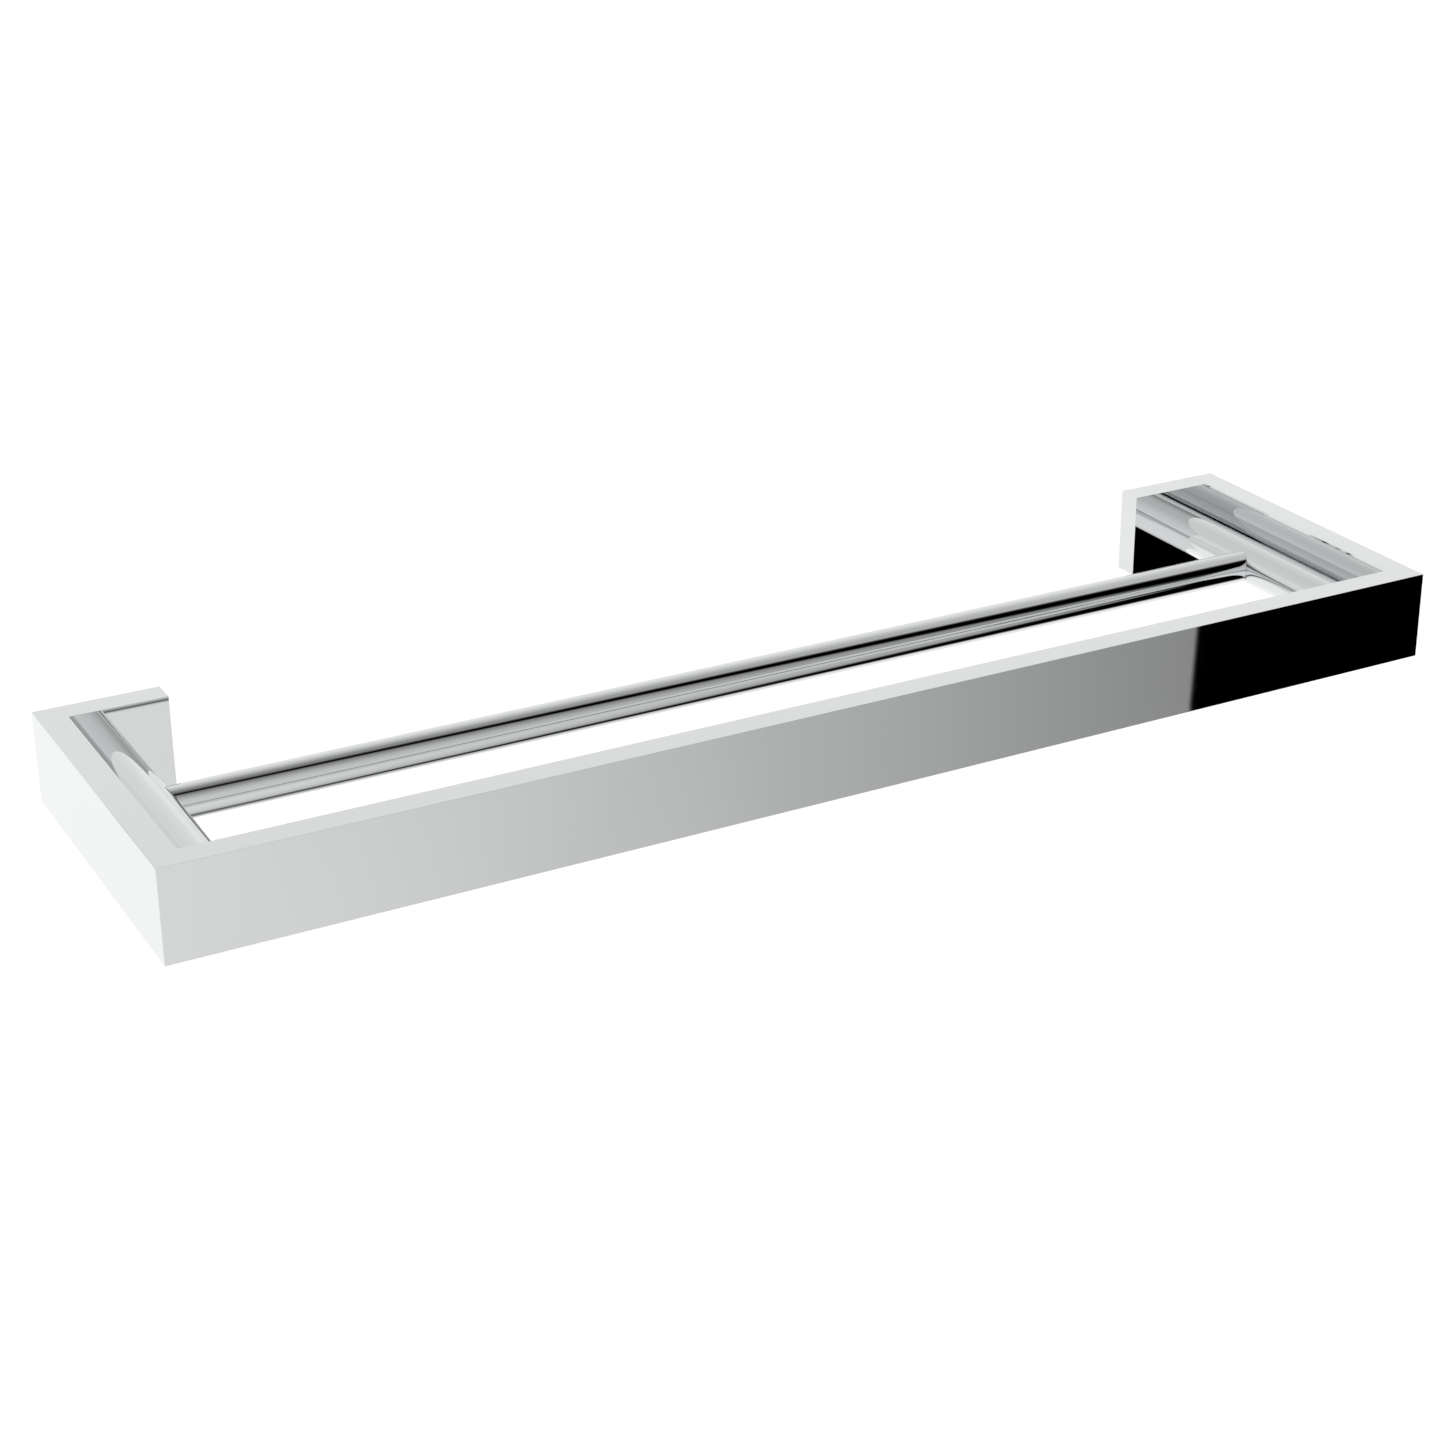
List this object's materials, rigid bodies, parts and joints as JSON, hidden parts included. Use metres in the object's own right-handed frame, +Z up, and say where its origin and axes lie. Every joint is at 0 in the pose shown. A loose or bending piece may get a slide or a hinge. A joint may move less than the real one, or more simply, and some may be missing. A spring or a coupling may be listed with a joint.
{
  "type": "towel rack",
  "caption": "Wall-mounted double towel rack: a rectangular flat-bar frame that carries a front bar and a round inner rail on hidden wall brackets, chrome plated.",
  "frame": {"origin": "on the wall, midway between the two wall brackets and at mid height of the bars", "axes": "+X along the rack, to the right as seen from the room; +Y into the wall; +Z up"},
  "size_m": [0.6, 0.16, 0.0406],
  "materials": {
    "chrome_plate": "mirror-polished chrome plate",
    "bolt_steel": "bright zinc-plated steel",
    "stainless_steel": "plain stainless steel",
    "cast_zinc": "as-cast zinc alloy, dull grey",
    "turned_brass": "bright turned brass",
    "bush_nylon": "natural nylon"
  },
  "bodies": {
    "root": {"front_bar": "chrome_plate", "inner_rail": "chrome_plate", "left_side_bar": "chrome_plate", "left_wall_tab": "chrome_plate", "left_side_tube": "chrome_plate", "left_front_bush": "bush_nylon", "left_rear_bush": "bush_nylon", "left_rail_spigot": "turned_brass", "left_tie_bolt": "bolt_steel", "left_bolt_washer": "bolt_steel", "left_wall_bracket": "cast_zinc", "left_grub_screw": "stainless_steel", "right_side_bar": "chrome_plate", "right_wall_tab": "chrome_plate", "right_side_tube": "chrome_plate", "right_front_bush": "bush_nylon", "right_rear_bush": "bush_nylon", "right_rail_spigot": "turned_brass", "right_tie_bolt": "bolt_steel", "right_bolt_washer": "bolt_steel", "right_wall_bracket": "cast_zinc", "right_grub_screw": "stainless_steel"}
  },
  "joints": []
}
